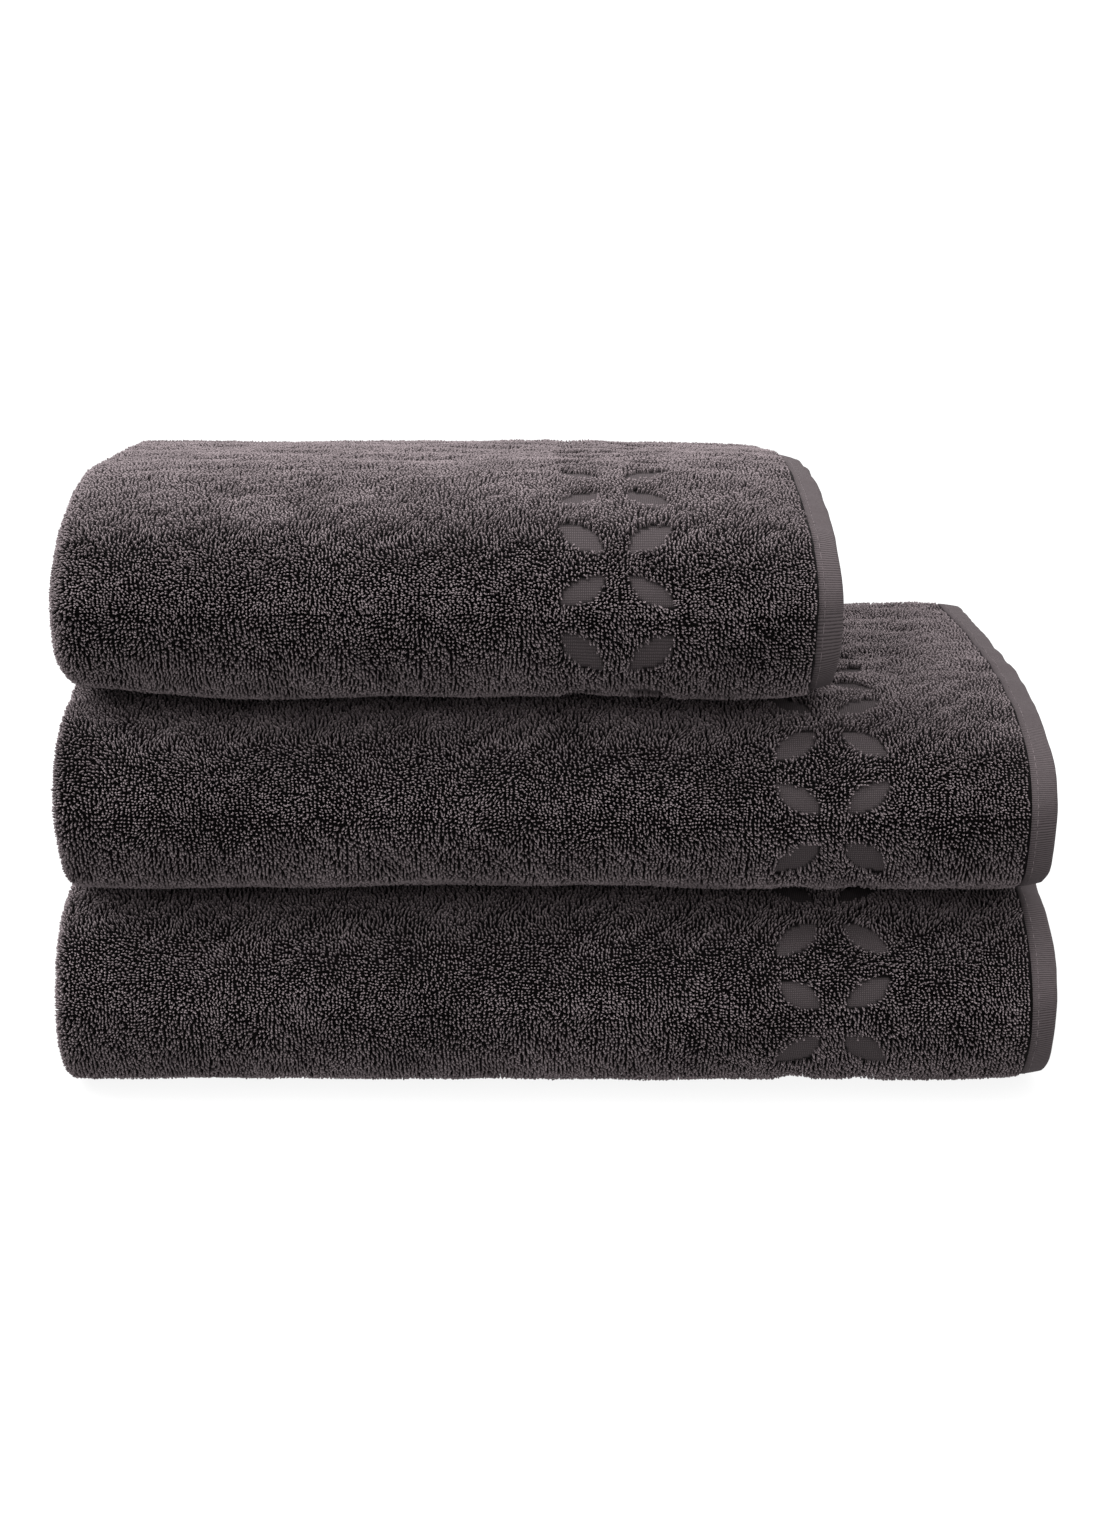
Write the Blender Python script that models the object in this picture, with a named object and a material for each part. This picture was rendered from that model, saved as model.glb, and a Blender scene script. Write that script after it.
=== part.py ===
"""A bath towel set, folded and stacked: two bath towels with a hand towel on top.

Each towel is one terry cloth with a hem along each of its four edges. Its length is folded in
half twice, which gives a bundle of four layers with both short hems at the right-hand end.
The bundle is then folded across its width, in three for a bath towel and in two for the hand
towel, so that a round nose faces the front. Metres, +Z up, +X to the right, -Y to the front,
origin at the middle of the stack's footprint, on the surface it stands on.
"""
import math

import bmesh
import bpy

# Flat sizes of the cloths.
BATH_LENGTH, BATH_WIDTH = 1.40, 0.70
HAND_LENGTH, HAND_WIDTH = 1.10, 0.50
LAYERS = 4                     # layers in the bundle after two lengthwise folds

# Heights of the folded towels, which their weight and loft set.
BOTTOM_HEIGHT = 0.074
MIDDLE_HEIGHT = 0.069
TOP_HEIGHT = 0.074
TOP_BACK_SHARE = 0.86          # the hand towel's height at its open back, as a share of its front

# Hems and clearances.
HEM_WIDTH = 0.009
HEM_THICKNESS = 0.0024
TUCK_CLEARANCE = 0.004         # from the tucked edge to where the front nose starts to bend
FOLD_GAP = 0.0006              # between one panel of the fold and the next
TOUCH_GAP = 0.0003             # between pieces that touch

ARC_STEP = math.radians(18)    # largest turn between two points of a fold
END_ANGLES = tuple(math.radians(a) for a in (12, 40, 65, 90))  # stations of a rounded end

TERRY_COLOUR = (0.085, 0.075, 0.078)
HEM_COLOUR = (0.070, 0.063, 0.066)


def arc(centre, radius, start, end):
    """Points of an arc in the YZ plane, angles in degrees from +Y towards +Z."""
    turn = math.radians(end - start)
    count = math.ceil(abs(turn) / ARC_STEP)
    angles = [math.radians(start) + turn * i / count for i in range(count + 1)]
    return [(centre[0] + radius * math.cos(a), centre[1] + radius * math.sin(a)) for a in angles]


class Fold:
    """A bundle folded across its width. depth_in is measured from the bundle's outer face."""

    def __init__(self, width, height, panels, left, right, front, base, back_share=1.0):
        self.bundle = height / panels
        self.layer = self.bundle / LAYERS
        self.panels = panels
        self.left, self.right, self.front, self.base = left, right, front, base
        self.back_share = back_share
        self.nose = self.bundle * panels / 2
        if panels == 3:
            bends = math.pi * (self.bundle + self.bundle / 2)
            used = 3 * self.nose + 2 * self.bundle + TUCK_CLEARANCE + FOLD_GAP
            self.depth = (width - bends + used) / 3
        else:
            self.depth = (width - math.pi * self.bundle / 2 + 2 * self.nose) / 2
        self.back = front + self.depth
        self.tucked_edge = front + self.nose + TUCK_CLEARANCE

    def settled(self, y, z):
        """Lowers the towel evenly from its nose to its open back."""
        start = self.front + self.nose
        share = min(max((y - start) / (self.back - start), 0.0), 1.0)
        return y, self.base + z * (1 - (1 - self.back_share) * share)

    def path(self, depth_in, edge_setback):
        """The fold's line at one depth in the bundle, from its hidden edge to its open edge."""
        tb, front_centre = self.bundle, self.front + self.nose
        open_edge = self.back - FOLD_GAP - edge_setback
        nose = arc((front_centre, self.nose), self.nose - depth_in, 270, 90)
        if self.panels == 3:
            tucked_edge = self.tucked_edge + edge_setback
            back_bend = arc((self.back - tb, tb), tb - depth_in, 90, -90)
            points = [(tucked_edge, 2 * tb - depth_in)] + back_bend + nose
        else:
            points = [(open_edge, depth_in)] + nose
        points.append((open_edge, self.panels * tb - depth_in))
        return [self.settled(y, z) for y, z in points]

    def level(self, layer_number):
        """Depth of the middle of a layer, counted from 1 at the outside."""
        return (layer_number - 0.5) * self.layer


def rounded_end(tip, middle, half, towards):
    """Stations (x, outer depth, inner depth) of a round end whose tip is at x = tip."""
    return [(tip + towards * half * (1 - math.cos(a)), middle - half * math.sin(a),
             middle + half * math.sin(a)) for a in END_ANGLES]


def loft(name, fold, stations, edge_setback):
    """A closed ribbon along the fold, whose stations give its outer and inner depth at each x."""
    mesh = bmesh.new()
    rings = []
    for x, outer, inner in stations:
        rings.append([[mesh.verts.new((x, y, z)) for y, z in fold.path(d, edge_setback)]
                      for d in (outer, inner)])
    for (outer_a, inner_a), (outer_b, inner_b) in zip(rings, rings[1:]):
        for side_a, side_b in ((outer_a, outer_b), (inner_a, inner_b)):
            for i in range(len(side_a) - 1):
                mesh.faces.new((side_a[i], side_a[i + 1], side_b[i + 1], side_b[i]))
        for end in (0, -1):
            mesh.faces.new((outer_a[end], inner_a[end], inner_b[end], outer_b[end]))
    for outer, inner in (rings[0], rings[-1]):
        for i in range(len(outer) - 1):
            mesh.faces.new((outer[i], outer[i + 1], inner[i + 1], inner[i]))
    return finish(name, mesh)


def serpentine(fold):
    """Centre line (x, depth) of an edge that runs through the four layers of the bundle."""
    tl = fold.layer
    left_bend = fold.left + 2 * tl
    right_bend = fold.right - tl - TOUCH_GAP

    def bend(x, middle, radius, side, start, end):
        turn = math.radians(end - start)
        count = math.ceil(abs(turn) / ARC_STEP / 2)
        angles = [math.radians(start) + turn * i / count for i in range(count + 1)]
        return [(x + side * radius * math.cos(a), middle + radius * math.sin(a)) for a in angles]

    line = [(fold.right, fold.level(1))]
    line += bend(left_bend, 2 * tl, 1.5 * tl, -1, -90, 90)
    line += bend(right_bend, 3 * tl, 0.5 * tl, 1, 90, -90)
    line += bend(left_bend, 2 * tl, 0.5 * tl, -1, 90, -90)
    line.append((fold.right, fold.level(2)))
    return line


def offset(line, distance):
    """The line moved sideways by distance, mitred at its corners."""
    moved = []
    for i, (x, q) in enumerate(line):
        before = line[max(i - 1, 0)]
        after = line[min(i + 1, len(line) - 1)]
        dx, dq = after[0] - before[0], after[1] - before[1]
        size = math.hypot(dx, dq)
        moved.append((x - dq / size * distance, q + dx / size * distance))
    return moved


def side_hem(name, fold, height_of, y_range):
    """A side hem: the serpentine edge strip, between two values of y."""
    line = serpentine(fold)
    strips = [offset(line, HEM_THICKNESS / 2), offset(line, -HEM_THICKNESS / 2)]
    mesh = bmesh.new()
    rows = []
    for y in y_range:
        rows.append([[mesh.verts.new((x, *fold.settled(y, height_of(q)))) for x, q in strip]
                     for strip in strips])
    for upper, lower in rows:
        for i in range(len(upper) - 1):
            mesh.faces.new((upper[i], upper[i + 1], lower[i + 1], lower[i]))
    for side_a, side_b in zip(*rows):
        for i in range(len(side_a) - 1):
            mesh.faces.new((side_a[i], side_a[i + 1], side_b[i + 1], side_b[i]))
    (upper_a, lower_a), (upper_b, lower_b) = rows
    for end in (0, -1):
        mesh.faces.new((upper_a[end], lower_a[end], lower_b[end], upper_b[end]))
    return finish(name, mesh)


def finish(name, mesh):
    """Turns a bmesh into a named object with its own fabric material."""
    bmesh.ops.recalc_face_normals(mesh, faces=mesh.faces)
    data = bpy.data.meshes.new(name)
    mesh.to_mesh(data)
    mesh.free()
    data.set_sharp_from_angle(angle=math.radians(30))
    piece = bpy.data.objects.new(name, data)
    data.materials.append(fabric(name, HEM_COLOUR if name.endswith("hem") else TERRY_COLOUR))
    towel_set.objects.link(piece)
    return piece


def fabric(name, colour):
    material = bpy.data.materials.new(name + "_cotton")
    material.use_nodes = True
    shader = material.node_tree.nodes["Principled BSDF"]
    shader.inputs["Base Color"].default_value = (*colour, 1)
    shader.inputs["Roughness"].default_value = 0.95
    shader.inputs["Metallic"].default_value = 0.0
    material.diffuse_color = (*colour, 1)
    return material


def terry_cloth(towel, fold):
    """The four-layer bundle. Its two inner layers run on to the fold between the hems."""
    tb, tl = fold.bundle, fold.layer
    inner_face = tb - FOLD_GAP
    hem_line = fold.right - HEM_WIDTH - TOUCH_GAP
    middle, half = inner_face / 2, inner_face / 2
    fold_outer = 2 * tl + TOUCH_GAP
    fold_middle, fold_half = (fold_outer + inner_face) / 2, (inner_face - fold_outer) / 2
    stations = rounded_end(fold.left, middle, half, 1)
    stations += [(hem_line, 0.0, inner_face), (hem_line, fold_outer, inner_face)]
    stations += rounded_end(fold.right, fold_middle, fold_half, -1)[::-1]
    loft(towel + "_terry_cloth", fold, stations, HEM_WIDTH + TOUCH_GAP)


def end_hem(towel, kind, fold, layer_number):
    """A short end's hem, along one layer at the right-hand end of the bundle."""
    middle, half = fold.level(layer_number), HEM_THICKNESS / 2
    hem_line = fold.right - HEM_WIDTH
    rim = fold.right - half
    stations = [(hem_line, middle - half, middle + half), (rim, middle - half, middle + half),
                (fold.right, middle - half / 2, middle + half / 2)]
    loft(f"{towel}_{kind}_end_hem", fold, stations, HEM_WIDTH + TOUCH_GAP)


def towel_pieces(towel, fold):
    """All five pieces of one towel."""
    terry_cloth(towel, fold)
    end_hem(towel, "outer", fold, 1)
    end_hem(towel, "inner", fold, 2)
    open_edge = fold.back - FOLD_GAP
    side_hem(towel + "_upper_side_hem", fold,
             lambda q: fold.panels * fold.bundle - q, (open_edge - HEM_WIDTH, open_edge))
    if fold.panels == 3:
        side_hem(towel + "_tucked_side_hem", fold, lambda q: 2 * fold.bundle - q,
                 (fold.tucked_edge, fold.tucked_edge + HEM_WIDTH))
    else:
        side_hem(towel + "_lower_side_hem", fold,
                 lambda q: q, (open_edge - HEM_WIDTH, open_edge))


for existing in list(bpy.data.objects):
    bpy.data.objects.remove(existing)
towel_set = bpy.data.collections.new("bath_towel_set")
bpy.context.scene.collection.children.link(towel_set)

left = -BATH_LENGTH / LAYERS / 2
hand_depth = Fold(HAND_WIDTH, TOP_HEIGHT, 2, 0, 0, 0, 0).depth
front = -hand_depth / 2
middle_base = BOTTOM_HEIGHT + TOUCH_GAP
top_base = middle_base + MIDDLE_HEIGHT + TOUCH_GAP

towel_pieces("bottom_towel", Fold(BATH_WIDTH, BOTTOM_HEIGHT, 3, left, -left, front, 0.0))
towel_pieces("middle_towel", Fold(BATH_WIDTH, MIDDLE_HEIGHT, 3, left, -left, front, middle_base))
towel_pieces("top_towel", Fold(HAND_WIDTH, TOP_HEIGHT, 2, left, left + HAND_LENGTH / LAYERS,
                               front, top_base, TOP_BACK_SHARE))
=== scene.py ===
"""The looks of a folded bath towel set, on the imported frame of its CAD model.

Each towel is one cloth, described by three flat coordinates in metres: u along its length from
the outer end hem, v across its width from the hidden edge, and w off the middle of the cloth,
positive on the side that ends up outside. Towel.place turns them into the folded towel, so the
cloth, its hems, its stitches and every loop of its pile are laid out flat and folded together.
"""
import math

import bmesh
import bpy
import numpy as np
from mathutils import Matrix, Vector


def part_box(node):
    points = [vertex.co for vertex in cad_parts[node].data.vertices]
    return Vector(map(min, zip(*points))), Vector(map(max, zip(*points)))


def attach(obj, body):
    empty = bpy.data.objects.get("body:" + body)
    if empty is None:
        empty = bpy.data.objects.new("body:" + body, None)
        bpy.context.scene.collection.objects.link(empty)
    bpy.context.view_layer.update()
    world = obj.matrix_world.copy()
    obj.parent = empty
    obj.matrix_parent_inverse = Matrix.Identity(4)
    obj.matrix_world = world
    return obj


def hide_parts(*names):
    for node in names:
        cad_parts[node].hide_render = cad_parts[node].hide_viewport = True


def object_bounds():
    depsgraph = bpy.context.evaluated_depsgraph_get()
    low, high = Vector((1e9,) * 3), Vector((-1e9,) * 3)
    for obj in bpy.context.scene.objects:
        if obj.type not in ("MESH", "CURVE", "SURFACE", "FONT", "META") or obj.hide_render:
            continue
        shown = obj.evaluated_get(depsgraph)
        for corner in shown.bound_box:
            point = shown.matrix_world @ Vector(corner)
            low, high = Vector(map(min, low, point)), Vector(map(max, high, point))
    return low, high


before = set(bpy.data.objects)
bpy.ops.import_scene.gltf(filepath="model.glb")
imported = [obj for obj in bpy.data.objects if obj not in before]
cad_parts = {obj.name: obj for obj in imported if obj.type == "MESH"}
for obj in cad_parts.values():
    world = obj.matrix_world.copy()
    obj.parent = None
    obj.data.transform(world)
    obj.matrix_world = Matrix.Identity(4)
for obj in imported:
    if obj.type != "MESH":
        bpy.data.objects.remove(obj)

CAD_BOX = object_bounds()

# The cloths, flat, in metres.
FLAT_SIZE = {"bottom_towel": (0.70, 1.40), "middle_towel": (0.70, 1.40), "top_towel": (0.50, 1.10)}
LAYERS = 4
HEM_WIDTH = 0.009
HEM_THICKNESS = 0.0024
STITCH, STITCH_PITCH = 0.0024, 0.0030
THREAD = 0.00022               # half thickness of a stitch
SEAM_INSET = 0.0021            # from the hem's inner edge to its stitches
HEM_LAP = 0.0005               # how far the cloth runs in under its hem
RIM = 0.0009                   # half thickness of the cloth where it does

# How each folded towel has settled: how far back its rounded front reaches, in the middle and at
# the hemmed end, its spread sideways, its slant to the back, and how much its middle swells up.
SHOULDER = {"bottom_towel": (0.065, 0.085), "middle_towel": (0.065, 0.105),
            "top_towel": (0.095, 0.130)}
SHOULDER_CHANGE = 0.06         # length over which the first becomes the second
SPREAD = {"bottom_towel": 1.028, "middle_towel": 1.008, "top_towel": 1.0}
SKEW = {"bottom_towel": 0.0, "middle_towel": 0.0, "top_towel": -0.020}
CROWN = {"bottom_towel": 0.0, "middle_towel": 0.0, "top_towel": 0.040}
END_SINK = (0.030, 0.40)       # length of the end that sinks, and how far, as a share of a layer
END_REACH = (0.006, 0.026)     # where the cloth runs up to lie level with its end hem, along u
END_LIFT = 0.35                # how far it does, as a share of half a layer
BACK_SETTLING_START = 0.10     # from the front to where the towel starts to sink to its back
EDGE_REACH = 0.035             # length of the open back edges' settling
EDGE_SETTLING = 0.20           # and how much closer together their layers lie
LEFT_HEAVE = 0.0045            # how far the middle towel's folded end swells up into the top one
LEFT_HEAVE_REACH = 0.030       # and how far above and below their seam that is felt
LEFT_HEAVE_START = (0.10, 0.175)    # how far to the left it begins, and is full
LEFT_FLATNESS = 0.34           # depth of the folded end's rounding, as a share of its height
LEFT_SQUARENESS = 3.0          # 2 is an ellipse, more is squarer

# Pile.
PILE_HEIGHT = 0.0024           # from the woven ground to the tips of the loops
LEAF_RISE = 0.0001             # how far the ground stands up in a leaf, with no pile on it
LOOP_PITCH = 0.00130
YARN_RADIUS = 0.00030
LOOP_SPAN = 0.00072
LOOP_TURN = math.radians(132)  # the loops' mean direction, from along the cloth to across it
LYING = 0.60                   # how level the cloth is where they start to turn back along it
LYING_SINK, LYING_FOOT, LYING_PAINTED_SHADE = 0.10, 0.30, 0.06   # and, where it is quite level: how much lower they are, how light their painted foot shade, how much painted shade darkens the yarn
                               # lower they are, how light their feet and how much darker the yarn
BULK_SHARE = 0.44              # half thickness of a hidden, pressed layer, in layers

# Woven border: leaves in crossing pairs, along a line parallel to the end hem.
BORDER_FROM_HEM = 0.078
LEAF_LENGTH, LEAF_WIDTH = 0.0202, 0.0100
LEAF_RAGGED = 0.00035          # how far loops stray over a leaf's outline
LEAF_RIM = 0.0014              # width of the lower pile, in less painted shade, that slopes down to a leaf its height, and how light the painted shade leaves its feet
LEAF_RIM_HEIGHT, LEAF_RIM_FOOT = 0.82, 0.60    # its height and how light its feet are
LEAF_OUT = 0.0120              # from the border's middle line to the middle of a leaf
LEAF_TILT = math.radians(41)
LEAF_STEP = {"bottom_towel": 0.0240, "middle_towel": 0.0240, "top_towel": 0.0250}
BORDER_PHASE = {"bottom_towel": -0.0085, "middle_towel": -0.0065, "top_towel": 0.0040}

# Studio.
FLOOR_REACH, FLOOR_LEVEL = 6.0, -0.0005
HORIZON_STRENGTH, ZENITH_GAIN = 1.08, 3.0

rng = np.random.default_rng(7)


def smoothstep(x, low, high):
    t = np.clip((x - low) / (high - low), 0, 1)
    return t * t * (3 - 2 * t)


def waves(points, lengths, seed):
    """A smooth, even field over space: one slanted sine for each wavelength, in -1 to 1."""
    pick = np.random.default_rng(seed)
    total = np.zeros(len(points))
    for length in lengths:
        direction = pick.normal(size=3)
        direction *= 2 * math.pi / length / np.linalg.norm(direction)
        total += np.sin(points @ direction + pick.uniform(0, 2 * math.pi))
    return total / len(lengths)


def relaxed(points):
    """The small unevenness of soft cloth, the same for the whole stack so nothing collides."""
    moved = points.copy()
    above_floor = smoothstep(points[:, 2], 0.004, 0.03)
    moved[:, 0] += 0.0008 * waves(points, (0.11, 0.07, 0.16, 0.03), 1)
    moved[:, 1] += (0.0014 * waves(points, (0.13, 0.08, 0.19), 2)
                    + 0.0006 * waves(points, (0.021, 0.029, 0.041), 6))
    moved[:, 2] += (0.0012 * waves(points, (0.12, 0.07, 0.21), 3)
                    + 0.0006 * waves(points, (0.019, 0.027, 0.045), 7)) * above_floor
    from_seam = (points[:, 2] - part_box("top_towel_terry_cloth")[0].z) / LEFT_HEAVE_REACH
    near_left = smoothstep(-points[:, 0], *LEFT_HEAVE_START)
    moved[:, 2] += LEFT_HEAVE * near_left * np.exp(-from_seam ** 2)
    return moved


class Towel:
    """One folded towel: the same folds as its CAD solids, sized from the frame."""

    def __init__(self, name):
        low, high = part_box(name + "_terry_cloth")
        edge_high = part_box(name + "_upper_side_hem")[1]
        self.name = name
        self.width, self.length = FLAT_SIZE[name]
        self.panels = 2 if name + "_lower_side_hem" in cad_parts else 3
        self.left, self.right = low.x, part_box(name + "_outer_end_hem")[1].x
        self.front, self.base = low.y, low.z
        self.back = max(high.y, edge_high.y)
        self.height = high.z - low.z
        self.bundle = self.height / self.panels
        self.layer = self.bundle / LAYERS
        self.nose = self.height / 2
        self.ground = self.layer / 2 - PILE_HEIGHT
        top_hem = self.height - self.layer / 2 + HEM_THICKNESS / 2
        self.back_share = (edge_high.z - self.base) / top_hem
        self.plan_length()
        self.plan_width()

    def plan_length(self):
        """The cloth's line through the four layers of the bundle, as tables along u."""
        tl, ends = self.layer, 2 / LEFT_SQUARENESS

        def bend(x, q, deep, high, side, start, power=1.0):
            a = np.radians(np.linspace(start, -start, 49))
            return np.stack([x + side * deep * np.cos(a) ** power,
                             q + high * np.sign(np.sin(a)) * np.abs(np.sin(a)) ** power], 1)

        deep = LEFT_FLATNESS * 1.5 * tl
        left_bend, right_bend = self.left + tl / 2 + deep, self.right - tl
        legs = [np.array([[self.right, tl / 2]]),
                bend(left_bend, 2 * tl, deep, 1.5 * tl, -1, -90, ends),
                bend(right_bend, 3 * tl, 0.5 * tl, 0.5 * tl, 1, 90),
                bend(left_bend + 0.45 * tl, 2 * tl, 0.3 * tl, 0.5 * tl, -1, 90),
                np.array([[self.right, 1.5 * tl]])]
        line = np.concatenate(legs)
        step = np.linalg.norm(np.diff(line, axis=0), axis=1)
        self.u_table = np.concatenate([[0], np.cumsum(step)])
        way = np.gradient(line, self.u_table, axis=0)
        way /= np.linalg.norm(way, axis=1, keepdims=True)
        self.line = np.stack([line[:, 0], line[:, 1], -way[:, 1], way[:, 0]])
        leg_ends = np.cumsum([len(leg) for leg in legs])[:-1]
        borders = sorted([*leg_ends, *(leg_ends[1:] - 1)])
        self.u_marks = np.concatenate([[0], self.u_table[borders], [self.u_table[-1]]])
        self.u_end = self.u_table[-1]

    def plan_width(self):
        """Where the panels and bends across the bundle begin, along v."""
        tb = self.bundle
        self.nose_y, self.heel_y = self.front + self.nose, self.back - tb
        nose_bend = math.pi * (self.nose - tb / 2)
        if self.panels == 3:
            flat = self.heel_y - self.nose_y
            heel_bend = math.pi * tb / 2
            top = self.back - self.nose_y
            tucked = self.width - heel_bend - flat - nose_bend - top
            pieces = [tucked, heel_bend, flat, nose_bend, top]
        else:
            flat = (self.width - nose_bend) / 2
            pieces = [0, 0, flat, nose_bend, flat]
        self.v_marks = np.concatenate([[0], np.cumsum(pieces)])

    def lengthwise(self, u):
        """x, depth in the bundle, and the outward direction in those two, at u."""
        return [np.interp(u, self.u_table, values) for values in self.line]

    def crosswise(self, v, depth):
        """y and z, before settling, at v and at a depth in the bundle."""
        tb, m = self.bundle, self.v_marks
        open_share = np.clip(1 - (m[5] - v) / EDGE_REACH, 0, 1) ** 2
        depth = depth + EDGE_SETTLING * open_share * (tb - depth)
        heel = math.pi / 2 - (v - m[1]) / (tb / 2)
        nose = math.pi * 1.5 - (v - m[3]) / (self.nose - tb / 2)
        has_heel = self.panels == 3
        where = [has_heel & (v < m[1]), has_heel & (v < m[2]), v < m[3], v < m[4], v >= m[4]]
        y = np.select(where, [
            self.heel_y - (m[1] - v), self.heel_y + (tb - depth) * np.cos(heel),
            self.nose_y + (m[3] - v), self.nose_y + (self.nose - depth) * np.cos(nose),
            self.nose_y + v - m[4]])
        z = np.select(where, [
            2 * tb - depth, tb + (tb - depth) * np.sin(heel), depth,
            self.nose + (self.nose - depth) * np.sin(nose), self.height - depth])
        return y, z

    def place(self, u, v, w):
        """Points of the folded towel at flat coordinates u, v, w."""
        u, v, w = (a.ravel() for a in np.broadcast_arrays(*map(np.asarray, (u, v, w))))
        x, q, nx, nq = self.lengthwise(u)
        reach, sunk = END_SINK
        q = q + sunk * self.layer * np.clip(1 - u / reach, 0, 1) ** 3
        w = w + END_LIFT * self.layer / 2 * (1 - smoothstep(u, *END_REACH))
        y, z = self.crosswise(v, q + nq * w)
        x = x + nx * w
        back_off = y - self.front
        z = z - self.shoulder_drop(x, back_off, z)
        deep = self.back - self.front
        settled = np.clip((back_off - BACK_SETTLING_START) / (deep - BACK_SETTLING_START), 0, 1)
        z = z * (1 - (1 - self.back_share) * settled ** 1.5)
        z = z * (1 + CROWN[self.name] * 4 * back_off / deep * (1 - back_off / deep))
        x = x * SPREAD[self.name] + SKEW[self.name] * back_off
        return relaxed(np.stack([x, y, z + self.base], 1))

    def shoulder_drop(self, x, back_off, z):
        """How far the upper front slopes below a round nose, less and less towards mid-height."""
        middle, end = SHOULDER[self.name]
        reach = middle + (end - middle) * smoothstep(x, self.right - SHOULDER_CHANGE, self.right)
        ahead = np.clip(back_off, 0, None)
        circle = np.sqrt(1 - np.clip(1 - ahead / self.nose, 0, 1) ** 2)
        slope = np.sqrt(1 - np.clip(1 - ahead / reach, 0, 1) ** 2)
        upper = np.clip((z / self.nose - 1) / np.clip(circle, 0.05, 1), 0, 1.2)
        return self.nose * (circle - slope) * upper

    def spread(self, v_start, v_stop, depth):
        """Arc length along a line at this depth, as matched tables of length and v."""
        marks = np.clip(self.v_marks, v_start, v_stop)
        heel_rate = (self.bundle - depth) / (self.bundle / 2)
        nose_rate = (self.nose - depth) / (self.nose - self.bundle / 2)
        rates = np.array([1, heel_rate, 1, nose_rate, 1])
        return np.concatenate([[0], np.cumsum(np.diff(marks) * rates)]), marks

    def loft(self, u):
        """The cloth's outer half thickness, as a share of the full one: less beside the end hem."""
        return 1 - END_LIFT * (1 - smoothstep(u, HEM_WIDTH, END_REACH[1]))

    def looped(self, u, v):
        """1 where the cloth's outer face shows its pile, 0 where it is pressed out of sight."""
        m, n = self.u_marks, self.v_marks
        edge = (smoothstep(v, HEM_WIDTH, HEM_WIDTH + 0.0003)
                * smoothstep(self.width - v, HEM_WIDTH, HEM_WIDTH + 0.0003))
        run = u < m[1]
        outside = (v > n[3] - 0.012) | ((v > n[1] - 0.012) & (v < n[2] + 0.010))
        near_end = (u < 0.016) | (u > m[1] - 0.012)
        left_round = (u >= m[1]) & (u < m[2] - 0.0015)
        right_round = (u > m[3] + 0.0015) & (u < m[4] - 0.0015)
        return edge * ((run & (outside | near_end)) | left_round | right_round)


def leaf(towel, u, v, margin=0.0):
    """1 inside the border's leaves, where the cloth has no pile, or within margin of one."""
    arc, marks = towel.spread(0, towel.width, towel.layer / 2)
    along = np.interp(v, marks, arc) + BORDER_PHASE[towel.name]
    aside = u - BORDER_FROM_HEM
    step = LEAF_STEP[towel.name]
    pair = np.floor(along / step)
    y = along - (pair + 0.5) * step
    x = np.abs(aside) - LEAF_OUT
    tilt = np.where(pair % 2 == 0, LEAF_TILT, -LEAF_TILT)
    long_way = x * np.cos(tilt) + y * np.sin(tilt)
    short_way = y * np.cos(tilt) - x * np.sin(tilt)
    reach = 1 - (long_way / (LEAF_LENGTH / 2 + margin)) ** 2
    return (np.abs(short_way) < (LEAF_WIDTH / 2 + margin) * np.clip(reach, 0, 1)) & (reach > 0)


# ---------------------------------------------------------------- meshes

def mesh_object(name, points, faces, material, flat=None, shade=None):
    """A smooth mesh from arrays. flat holds each vertex's (u, v) in metres, as a UV map."""
    data = bpy.data.meshes.new(name)
    faces = np.asarray(faces, np.int32)
    data.vertices.add(len(points))
    data.vertices.foreach_set("co", np.asarray(points, np.float32).ravel())
    data.loops.add(faces.size)
    data.loops.foreach_set("vertex_index", faces.ravel())
    data.polygons.add(len(faces))
    data.polygons.foreach_set(
        "loop_start", np.arange(0, faces.size, faces.shape[1], dtype=np.int32))
    data.update(calc_edges=True)
    data.shade_smooth()
    if flat is not None:
        layer = data.uv_layers.new(name="flat")
        layer.uv.foreach_set("vector", np.asarray(flat, np.float32)[faces.ravel()].ravel())
    if shade is not None:
        values = data.attributes.new("shade", "FLOAT", "POINT")
        values.data.foreach_set("value", np.asarray(shade, np.float32))
    data.materials.append(material)
    piece = bpy.data.objects.new(name, data)
    bpy.context.scene.collection.objects.link(piece)
    return piece


def grid_faces(rows, columns, first=0, flip=False):
    """Quads of a grid whose points are stored row by row from index first."""
    i = np.arange(rows - 1)[:, None] * columns + np.arange(columns - 1)[None] + first
    quads = np.stack([i, i + 1, i + columns + 1, i + columns], -1).reshape(-1, 4)
    return quads[:, ::-1] if flip else quads


def steps(marks, spacing):
    """Values from the first mark to the last that include every mark, spaced as given."""
    values = [marks[0]]
    for start, stop, gap in zip(marks, marks[1:], spacing):
        if stop - start > 1e-6:
            count = max(1, math.ceil((stop - start) / gap))
            values += list(start + (stop - start) * np.arange(1, count + 1) / count)
    return np.array(values)


def band(name, place, profile, along, material, flat_of):
    """A closed band: a closed profile of (across, w) points carried along a line."""
    across, height = np.array(profile).T
    rows, columns = len(along), len(across)
    a, s = np.meshgrid(across, along)
    h = np.broadcast_to(height, a.shape)
    points = place(a, s, h)
    loop = np.arange(columns)
    i = np.arange(rows - 1)[:, None] * columns
    quads = np.stack([i + loop, i + np.roll(loop, -1), i + columns + np.roll(loop, -1),
                      i + columns + loop], -1).reshape(-1, 4)
    half = columns // 2
    cap = np.array([[k, k + 1, columns - 2 - k, columns - 1 - k] for k in range(half - 1)])
    ends = np.concatenate([cap, cap[:, ::-1] + (rows - 1) * columns])
    faces = np.concatenate([quads, ends])
    return mesh_object(name, points, faces, material, flat_of(a.ravel(), s.ravel(), h.ravel()))


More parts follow.
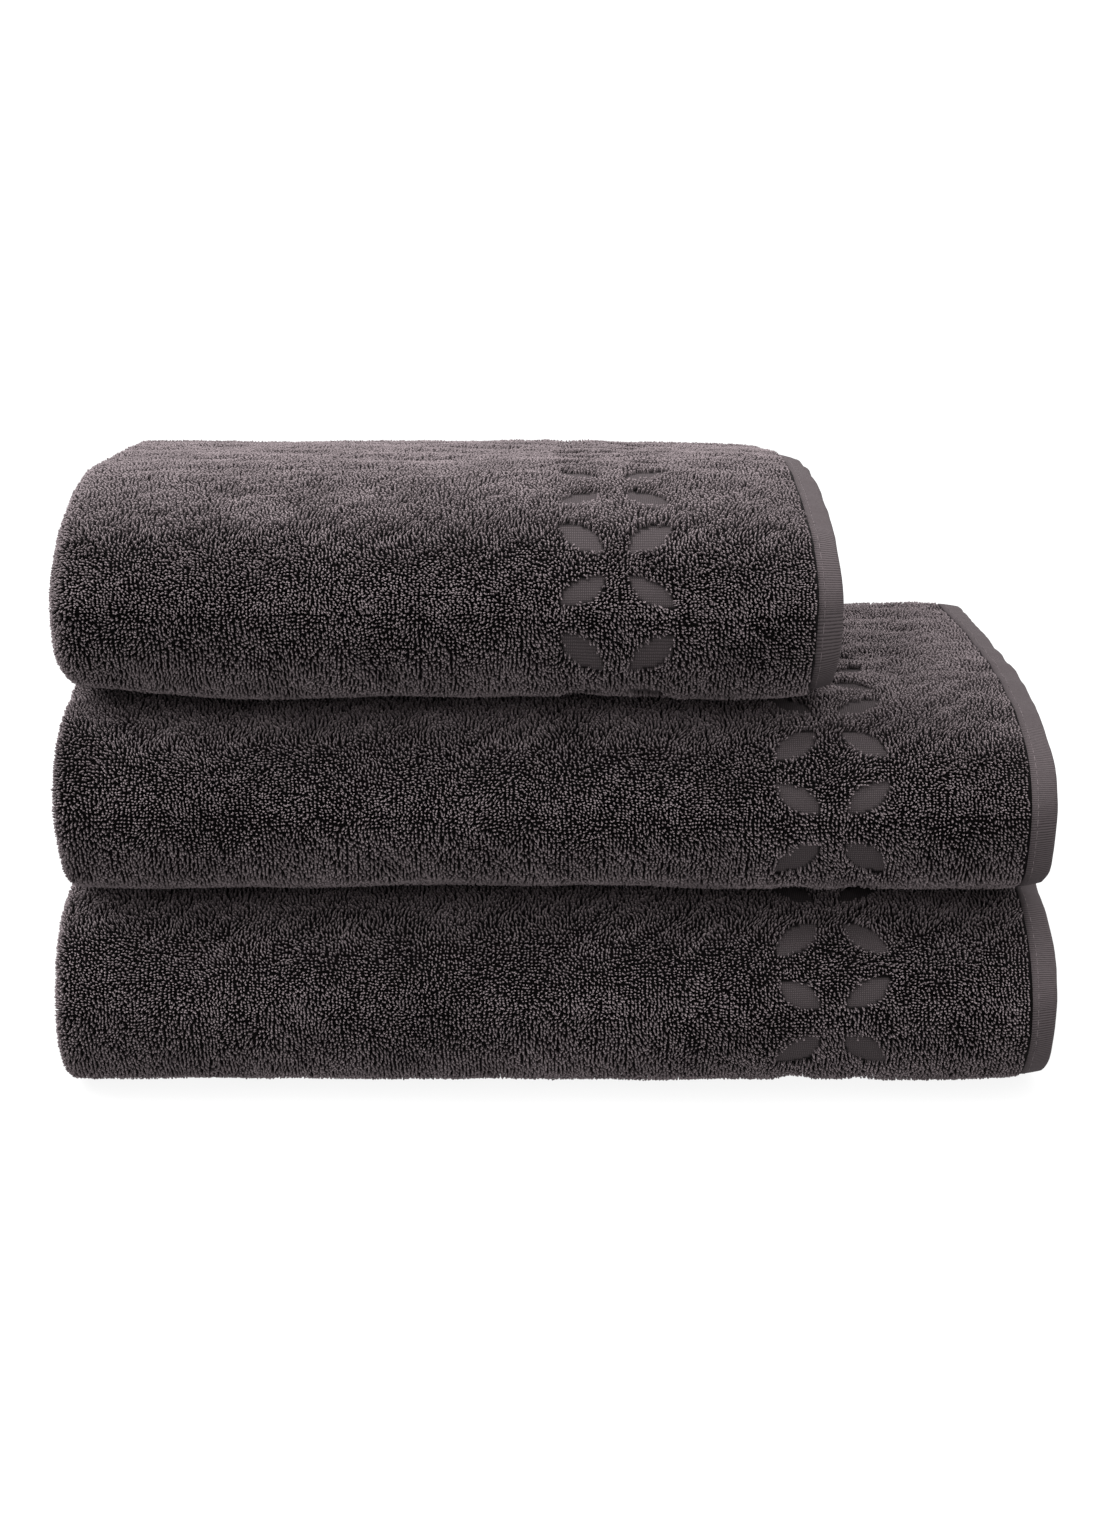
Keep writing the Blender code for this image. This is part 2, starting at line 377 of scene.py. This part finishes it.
def facing_out(piece):
    """Turns every face outward."""
    mesh = bmesh.new()
    mesh.from_mesh(piece.data)
    bmesh.ops.recalc_face_normals(mesh, faces=mesh.faces)
    mesh.to_mesh(piece.data)
    mesh.free()
    return piece


# ---------------------------------------------------------------- materials

def node(tree, kind, **values):
    """A new shader node, with its inputs or properties set by name."""
    made = tree.nodes.new("ShaderNode" + kind)
    for key, value in values.items():
        if key in made.inputs:
            made.inputs[key].default_value = value
        else:
            setattr(made, key, value)
    return made


def cotton(name, roughness):
    """A new, almost matt cotton material, its tree and its shader."""
    material = bpy.data.materials.new(name)
    material.use_nodes = True
    tree = material.node_tree
    shader = tree.nodes["Principled BSDF"]
    shader.inputs["Roughness"].default_value = roughness
    shader.inputs["Specular IOR Level"].default_value = 0.03
    shader.inputs["Sheen Weight"].default_value = 0.02
    shader.inputs["Sheen Roughness"].default_value = 0.5
    shader.inputs["Sheen Tint"].default_value = (1.0, 0.88, 0.92, 1)
    return material, tree, shader


def ramp(tree, factor, dark, light, low=0.0, high=1.0):
    """Colours from dark, where factor is low, to light, where it is high."""
    made = node(tree, "ValToRGB")
    made.color_ramp.elements[0].color = (*dark, 1)
    made.color_ramp.elements[1].color = (*light, 1)
    made.color_ramp.elements[0].position = low
    made.color_ramp.elements[1].position = high
    tree.links.new(factor, made.inputs["Fac"])
    return made


def dye(value):
    """The charcoal dye at a given strength: faintly warm and purple."""
    return value * 1.10, value * 0.92, value * 0.96


def pile_material():
    """Looped yarn with painted shade towards its feet; each loop its own tone, over softly varying
    dye.
    """
    material, tree, shader = cotton("terry_loops", 0.9)
    shade = node(tree, "Attribute", attribute_name="shade")
    place = node(tree, "TexCoord")
    patches = node(tree, "TexNoise", Scale=28.0, Detail=3.0, Roughness=0.6)
    tree.links.new(place.outputs["Object"], patches.inputs["Vector"])
    level = node(tree, "MapRange")
    level.inputs["From Min"].default_value = 0.3
    level.inputs["From Max"].default_value = 0.7
    level.inputs["To Min"].default_value = 0.88
    level.inputs["To Max"].default_value = 1.08
    tree.links.new(patches.outputs["Fac"], level.inputs["Value"])
    tone_and_painted_shade = node(tree, "Math", operation="MULTIPLY")
    tree.links.new(level.outputs[0], tone_and_painted_shade.inputs[0])
    tree.links.new(shade.outputs["Fac"], tone_and_painted_shade.inputs[1])
    # painted shade: the ramp turns the loops' legs and feet almost black, and only their crests
    # keep the dye
    colours = ramp(tree, tone_and_painted_shade.outputs[0], dye(0.0015), dye(0.147), 0.31, 1.15)
    tree.links.new(colours.outputs["Color"], shader.inputs["Base Color"])
    return material


def ground_material():
    """The cloth under the pile: a plain weave, with painted shade making it almost black wherever
    loops stand on it.
    """
    material, tree, shader = cotton("terry_ground", 0.95)
    flat = node(tree, "UVMap", uv_map="flat")
    threads = []
    for axis in ("X", "Y"):
        wave = node(tree, "TexWave", Scale=450.0, Distortion=1.6, Detail=2.0)
        wave.bands_direction = axis
        wave.inputs["Detail Scale"].default_value = 1.5
        tree.links.new(flat.outputs["UV"], wave.inputs["Vector"])
        threads.append(wave)
    weave = node(tree, "Math", operation="MULTIPLY")
    tree.links.new(threads[0].outputs["Fac"], weave.inputs[0])
    tree.links.new(threads[1].outputs["Fac"], weave.inputs[1])
    # painted shade: 0 where loops stand on the cloth, 1 in leaves and pressed layers
    out_of_painted_shade = node(tree, "Attribute", attribute_name="shade")
    weave_tone = node(tree, "Math", operation="MULTIPLY_ADD")
    tree.links.new(weave.outputs[0], weave_tone.inputs[0])
    weave_tone.inputs[1].default_value = 0.75
    weave_tone.inputs[2].default_value = 0.42
    weave_in_painted_shade = node(tree, "Math", operation="MULTIPLY")
    tree.links.new(weave_tone.outputs[0], weave_in_painted_shade.inputs[0])
    tree.links.new(out_of_painted_shade.outputs["Fac"], weave_in_painted_shade.inputs[1])
    colours = ramp(tree, weave_in_painted_shade.outputs[0], dye(0.0025), dye(0.046))
    tree.links.new(colours.outputs["Color"], shader.inputs["Base Color"])
    bump = node(tree, "Bump", Strength=0.6, Distance=0.0002)
    tree.links.new(weave.outputs[0], bump.inputs["Height"])
    tree.links.new(bump.outputs["Normal"], shader.inputs["Normal"])
    return material


def thread_material():
    """Sewing thread, a little lighter than the hem it holds, with its twist."""
    material, tree, shader = cotton("sewing_thread", 0.85)
    place = node(tree, "TexCoord")
    twist = node(tree, "TexNoise", Scale=900.0, Detail=2.0)
    tree.links.new(place.outputs["Object"], twist.inputs["Vector"])
    colours = ramp(tree, twist.outputs["Fac"], dye(0.040), dye(0.090), 0.3, 0.7)
    tree.links.new(colours.outputs["Color"], shader.inputs["Base Color"])
    return material


def hem_material():
    """Flat ribbed weave: fine ribs across the hem, with threads of slightly uneven dye."""
    material, tree, shader = cotton("ribbed_hem", 0.9)
    flat = node(tree, "UVMap", uv_map="flat")
    ribs = node(tree, "TexWave", Scale=430.0, Distortion=0.8, Detail=1.0)
    ribs.bands_direction = "Y"
    tree.links.new(flat.outputs["UV"], ribs.inputs["Vector"])
    slub = node(tree, "TexNoise", Scale=700.0, Detail=2.0)
    tree.links.new(flat.outputs["UV"], slub.inputs["Vector"])
    both = node(tree, "Math", operation="MULTIPLY_ADD")
    tree.links.new(slub.outputs["Fac"], both.inputs[0])
    both.inputs[1].default_value = 0.5
    tree.links.new(ribs.outputs["Fac"], both.inputs[2])
    colours = ramp(tree, both.outputs[0], dye(0.016), dye(0.050), 0.1, 1.3)
    tree.links.new(colours.outputs["Color"], shader.inputs["Base Color"])
    bump = node(tree, "Bump", Strength=0.5, Distance=0.00015)
    tree.links.new(both.outputs[0], bump.inputs["Height"])
    tree.links.new(bump.outputs["Normal"], shader.inputs["Normal"])
    return material


# ---------------------------------------------------------------- pieces

def cloth_piece(towel, material):
    """The folded cloth between the hems, one closed sheet through all its layers."""
    start, stop = HEM_WIDTH - HEM_LAP, towel.u_end - HEM_WIDTH + HEM_LAP
    tl = towel.layer
    border = BORDER_FROM_HEM + np.array([-1, 1]) * (LEAF_OUT + 0.011)
    u_marks = np.concatenate([[start, 0.017], border, towel.u_marks[1:-1], [stop]])
    u = steps(u_marks, [0.002, 0.004, 0.001, 0.004, 0.0012, 0.007, 0.0008, 0.012, 0.0015, 0.012])
    v_marks = np.clip(towel.v_marks, start, towel.width - start)
    v = steps(v_marks, [0.006, 0.0018, 0.004, 0.0010, 0.0025])
    uu, vv = (a.ravel() for a in np.meshgrid(u, v, indexing="ij"))
    loops = towel.looped(uu, vv)
    leaves = leaf(towel, uu, vv) & (uu < towel.u_marks[1])
    bulk = BULK_SHARE * tl * (1 + 0.08 * waves(np.stack([uu, vv, vv * 0], 1), (0.011, 0.017), 5))
    outer = loops * (towel.ground * towel.loft(uu) + LEAF_RISE * leaves) + (1 - loops) * bulk
    from_edge = np.minimum(np.minimum(uu, towel.u_end - uu), np.minimum(vv, towel.width - vv))
    rim = smoothstep(from_edge, start, HEM_WIDTH + 0.0015)
    outer, inner = RIM + (outer - RIM) * rim, -RIM - (bulk - RIM) * rim
    points = np.concatenate([towel.place(uu, vv, outer), towel.place(uu, vv, inner)])
    rows, columns = len(u), len(v)
    count = rows * columns
    faces = [grid_faces(rows, columns), grid_faces(rows, columns, count, True)]
    index = np.arange(count).reshape(rows, columns)
    rim = np.concatenate([index[0, :-1], index[:-1, -1], index[-1, :0:-1], index[:0:-1, 0]])
    following = np.roll(rim, -1)
    faces.append(np.stack([rim, rim + count, following + count, following], -1))
    flat = np.tile(np.stack([uu, vv], 1), (2, 1))
    # painted shade for the ground's colour: dark where loops stand, light in leaves and pressed
    # layers
    shade = np.tile(np.where(leaves | (loops < 0.5), 1.0, 0.0), 2)
    return facing_out(mesh_object(towel.name + "_folded_cloth", points,
                                  np.concatenate(faces), material, flat, shade))


def loop_sites(towel):
    """Flat coordinates of every loop: rows along the width, an even distance apart once folded."""
    rise = towel.layer / 2
    x, q, nx, nq = towel.line
    tips = np.stack([x + nx * rise, q + nq * rise])
    travel = np.concatenate([[0], np.cumsum(np.linalg.norm(np.diff(tips, axis=1), axis=0))])
    rows = np.interp(np.arange(0, travel[-1], LOOP_PITCH), travel, towel.u_table)
    m = towel.u_marks
    rows = rows[(rows > HEM_WIDTH + 0.0002) & ((rows < m[2]) | ((rows > m[3]) & (rows < m[4])))]
    us, vs = [], []
    for u in rows:
        depth = np.interp(u, towel.u_table, q + nq * rise)
        arc, marks = towel.spread(0, towel.width, depth)
        count = int(arc[-1] / LOOP_PITCH)
        s = (np.arange(count) + 0.5) / count * arc[-1]
        s = s + LOOP_PITCH * 0.4 * np.sin(s / 0.017 + 0.6 * np.sin(u / 0.009) + u / 0.013)
        s = s + rng.uniform(-0.20, 0.20, count) * LOOP_PITCH
        us.append(u + rng.uniform(-0.20, 0.20, count) * LOOP_PITCH)
        vs.append(np.interp(s, arc, marks))
    u, v = np.concatenate(us), np.concatenate(vs)
    stray = rng.normal(0, LEAF_RAGGED, (2, len(u)))
    keep = (towel.looped(u, v) > 0.5) & ~((u < m[1]) & leaf(towel, u + stray[0], v + stray[1]))
    return u[keep], v[keep]


def pile_piece(towel, material):
    """The loops: a short arch of yarn each, leaning and turned by soft patches and by chance."""
    u, v = loop_sites(towel)
    loft = towel.loft(u)
    foot, step = towel.ground * loft - 0.0003, 0.0002
    at = towel.place(u, v, foot)
    up = towel.place(u, v, foot + step) - at
    along = towel.place(u + step, v, foot) - at
    up /= np.linalg.norm(up, axis=1, keepdims=True)
    along -= up * (along * up).sum(1, keepdims=True)
    along /= np.linalg.norm(along, axis=1, keepdims=True)
    aside = np.cross(up, along)
    count = len(u)
    lying = smoothstep(up[:, 2], LYING, 1.0)
    turn = (LOOP_TURN * (1 - lying)
            + 1.6 * waves(at, (0.006, 0.011, 0.020, 0.034), 11) * (1 - 0.6 * lying)
            + rng.normal(0, 0.30, count))
    lean_along = ((0.40 + 0.35 * lying) * waves(at, (0.006, 0.010, 0.017, 0.028), 12)
                  + rng.normal(0, 0.12, count))
    lean_aside = 0.40 * waves(at, (0.007, 0.011, 0.019, 0.031), 13) + rng.normal(0, 0.12, count)
    plane = along * np.cos(turn)[:, None] + aside * np.sin(turn)[:, None]
    tip = up + along * lean_along[:, None] + aside * lean_aside[:, None]
    tip /= np.linalg.norm(tip, axis=1, keepdims=True)
    side = np.cross(tip, plane)
    side /= np.linalg.norm(side, axis=1, keepdims=True)
    span = LOOP_SPAN * rng.uniform(0.8, 1.25, count)
    tall = 1 + 0.10 * waves(at, (0.008, 0.013, 0.024), 14) + rng.normal(0, 0.07, count)
    beside_leaf = (u < towel.u_marks[1]) & leaf(towel, u, v, LEAF_RIM)
    tall = np.clip(tall, 0.7, 1.2) * np.where(beside_leaf, LEAF_RIM_HEIGHT, 1)
    height = (towel.layer / 2 * loft - foot - YARN_RADIUS) * tall * (1 - LYING_SINK * lying)
    radius = YARN_RADIUS * rng.uniform(0.88, 1.14, count)
    rings = []
    for share, rise, swing in ((-0.38, 0.0, 0.2), (-0.27, 0.94, 0.75), (0.27, 0.94, 0.75),
                               (0.38, 0.0, 0.2)):
        centre = (at + plane * (span * share)[:, None] + tip * (height * rise)[:, None]
                  + side * (span * 0.10 * np.sign(share))[:, None])
        outward = plane * share * 2 * (1 - swing) + tip * swing
        outward /= np.linalg.norm(outward, axis=1, keepdims=True)
        for k in range(3):
            angle = 2 * math.pi * k / 3
            rings.append(centre + (outward * math.cos(angle) + side * math.sin(angle))
                         * radius[:, None])
    points = np.stack(rings, 1).reshape(-1, 3)
    shape = [[3 * r + k, 3 * r + (k + 1) % 3, 3 * r + 3 + (k + 1) % 3, 3 * r + 3 + k]
             for r in range(3) for k in range(3)]
    faces = (np.array(shape)[None] + 12 * np.arange(count)[:, None, None]).reshape(-1, 4)
    # each loop's own random tone, with painted shade darkening it where the cloth lies level and
    # faces up
    yarn = (rng.uniform(0.72, 1, count) * (1 - LYING_PAINTED_SHADE * lying))[:, None]
    # painted shade: the feet go dark, less so beside a leaf and on level cloth; the crests keep the
    # yarn's tone
    painted_foot_shade = np.where(beside_leaf, LEAF_RIM_FOOT, LYING_FOOT * lying)[:, None]
    crest = np.repeat([0.0, 1.0, 1.0, 0.0], 3)[None]
    shade = (yarn * (crest + (1 - crest) * painted_foot_shade)).ravel()
    return mesh_object(towel.name + "_pile", points, faces, material, shade=shade)


def hem_profile(width, thickness):
    """Closed outline of a turned hem: a round outer edge and a square inner one."""
    r = thickness / 2
    angles = np.linspace(math.pi / 2, -math.pi / 2, 8)
    bend = [(r - r * math.cos(a), r * math.sin(a)) for a in angles]
    top = [(x, r) for x in np.linspace(width, r + 0.001, 4)]
    return top + bend + [(x, -r) for x, _ in top[::-1]]


def hem_pieces(towel, material):
    """The four hems, each standing for its CAD node."""
    width = towel.width
    profile = hem_profile(HEM_WIDTH, HEM_THICKNESS)
    v = steps(towel.v_marks, [0.003] * 5)
    pieces = []

    def pucker(s, phase):
        """How far the hem rises and falls along its length, between its stitches."""
        return (0.00012 * np.sin(s / 0.0105 * 2 * math.pi + phase)
                + 0.00008 * np.sin(s / 0.0041 * 2 * math.pi + 2 * phase))

    def wander(s, phase):
        """How far its outer edge strays from a straight line."""
        return (0.0002 * np.sin(s / 0.037 * 2 * math.pi + phase)
                + 0.0001 * np.sin(s / 0.019 * 2 * math.pi - phase))

    for kind, edge, sign in (("outer_end_hem", 0.0, 1), ("inner_end_hem", towel.u_end, -1)):
        def place(a, s, h, edge=edge, sign=sign):
            swept = edge + sign * (a + wander(s, edge) * (1 - a / HEM_WIDTH))
            return towel.place(swept, s, h + pucker(s, edge))
        piece = band(f"{towel.name}_{kind}_band", place, profile, v, material,
                     lambda a, s, h: np.stack([a, s], 1))
        pieces.append((facing_out(piece), kind))
    hidden = "tucked_side_hem" if towel.panels == 3 else "lower_side_hem"
    m = towel.u_marks
    u_marks = np.concatenate([[HEM_WIDTH], m[1:-1], [towel.u_end - HEM_WIDTH]])
    u = steps(u_marks, [0.003, 0.0012, 0.003, 0.0008, 0.003, 0.0008, 0.003])
    for kind, edge, sign in ((hidden, 0.0, 1), ("upper_side_hem", width, -1)):
        def place(a, s, h, edge=edge, sign=sign):
            swept = edge + sign * (a + wander(s, edge) * (1 - a / HEM_WIDTH))
            return towel.place(s, swept, h + pucker(s, edge))
        piece = band(f"{towel.name}_{kind}_band", place, profile, u, material,
                     lambda a, s, h: np.stack([a, s], 1))
        pieces.append((facing_out(piece), kind))
    return pieces


def stitches(towel, material):
    """The seams: short threads along the inner edge of each hem, on both of its faces."""
    u_end, width = towel.u_end, towel.width
    share = np.array([0, 0.15, 0.5, 0.85, 1])
    swell = np.array([0.3, 0.9, 1, 0.9, 0.3]) * THREAD
    points, faces = [], []

    def lay(along, across, lengthwise):
        """One row of stitches, with their middles at along, on a line at across."""
        for face in (1, -1):
            run = along[:, None] + (share - 0.5) * STITCH
            ring = []
            for out, up in ((0, 1), (1, 0), (0, -1), (-1, 0)):
                aside = across + out * swell + 0 * run
                rise = face * (HEM_THICKNESS / 2 + up * swell * 0.7)
                u, v = (run, aside) if lengthwise else (aside, run)
                ring.append(towel.place(u, v, rise).reshape(len(along), len(share), 3))
            starts = sum(len(p) for p in points) + 4 * len(share) * np.arange(len(along))
            points.append(np.stack(ring, 2).reshape(-1, 3))
            quads = [[4 * r + k, 4 * r + (k + 1) % 4, 4 * r + 4 + (k + 1) % 4, 4 * r + 4 + k]
                     for r in range(len(share) - 1) for k in range(4)]
            last = 4 * len(share) - 4
            quads += [[3, 2, 1, 0], [last, last + 1, last + 2, last + 3]]
            faces.append((np.array(quads)[None] + starts[:, None, None]).reshape(-1, 4))

    inset = HEM_WIDTH - SEAM_INSET
    ends = np.arange(0.004, width - 0.004, STITCH_PITCH)
    sides = np.arange(HEM_WIDTH, u_end - HEM_WIDTH, STITCH_PITCH)
    lay(ends, inset, False)
    lay(ends, u_end - inset, False)
    lay(sides, inset, True)
    lay(sides, width - inset, True)
    return facing_out(mesh_object(towel.name + "_stitches", np.concatenate(points),
                                  np.concatenate(faces), material))


def build_towel(name, materials):
    """All of one towel's pieces, riding on its body."""
    towel = Towel(name)
    cloth = cloth_piece(towel, materials["ground"])
    pile = pile_piece(towel, materials["pile"])
    seams = stitches(towel, materials["thread"])
    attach(cloth, name)
    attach(pile, name)
    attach(seams, name)
    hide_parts(name + "_terry_cloth")
    for piece, kind in hem_pieces(towel, materials["hem"]):
        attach(piece, name)
        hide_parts(f"{name}_{kind}")


# ---------------------------------------------------------------- studio

def floor():
    """White paper that is bright enough to show no edge."""
    data = bpy.data.meshes.new("floor")
    reach = FLOOR_REACH
    corners = [(-reach, -reach, 0), (reach, -reach, 0), (reach, reach, 0), (-reach, reach, 0)]
    data.from_pydata(corners, [], [(0, 1, 2, 3)])
    sheet = bpy.data.objects.new("floor", data)
    sheet.location.z = FLOOR_LEVEL
    bpy.context.scene.collection.objects.link(sheet)
    paper = bpy.data.materials.new("paper")
    paper.use_nodes = True
    shader = paper.node_tree.nodes["Principled BSDF"]
    shader.inputs["Base Color"].default_value = (0.08, 0.08, 0.08, 1)
    shader.inputs["Emission Color"].default_value = (1, 1, 1, 1)
    shader.inputs["Emission Strength"].default_value = 0.90
    shader.inputs["Roughness"].default_value = 1.0
    shader.inputs["Specular IOR Level"].default_value = 0.0
    data.materials.append(paper)


def sky():
    """White all round, brighter towards the zenith."""
    world = bpy.data.worlds.new("studio")
    bpy.context.scene.world = world
    world.use_nodes = True
    tree = world.node_tree
    background = tree.nodes["Background"]
    background.inputs["Color"].default_value = (1, 1, 1, 1)
    upward = node(tree, "SeparateXYZ")
    tree.links.new(node(tree, "TexCoord").outputs["Generated"], upward.inputs[0])
    height = node(tree, "Math", operation="MAXIMUM")
    tree.links.new(upward.outputs["Z"], height.inputs[0])
    height.inputs[1].default_value = 0.0
    strength = node(tree, "Math", operation="MULTIPLY_ADD")
    tree.links.new(height.outputs[0], strength.inputs[0])
    strength.inputs[1].default_value = ZENITH_GAIN
    strength.inputs[2].default_value = HORIZON_STRENGTH
    tree.links.new(strength.outputs[0], background.inputs["Strength"])


def lamp():
    """One large soft light, above and to the left."""
    data = bpy.data.lights.new("overhead", "AREA")
    data.shape = "SQUARE"
    data.size = 1.0
    data.energy = 33
    light = bpy.data.objects.new("overhead", data)
    light.location = (-1.05, -0.20, 1.25)
    aim = Vector((0.0, 0.0, 0.10)) - light.location
    light.rotation_euler = aim.to_track_quat("-Z", "Y").to_euler()
    bpy.context.scene.collection.objects.link(light)


def camera():
    """Straight on to the rounded fronts, from a little above."""
    data = bpy.data.cameras.new("camera")
    data.lens, data.sensor_width = 60.3, 36.0
    view = bpy.data.objects.new("camera", data)
    view.location = (0.0, CAD_BOX[0].y - 0.859, 0.348)
    view.rotation_euler = (math.radians(90 - 14.35), 0, 0)
    bpy.context.scene.collection.objects.link(view)
    bpy.context.scene.camera = view


camera()
floor()
sky()
lamp()
bpy.context.scene.view_settings.view_transform = "Standard"
cotton_set = {"ground": ground_material(), "pile": pile_material(), "hem": hem_material(),
              "thread": thread_material()}
for towel_name in FLAT_SIZE:
    build_towel(towel_name, cotton_set)
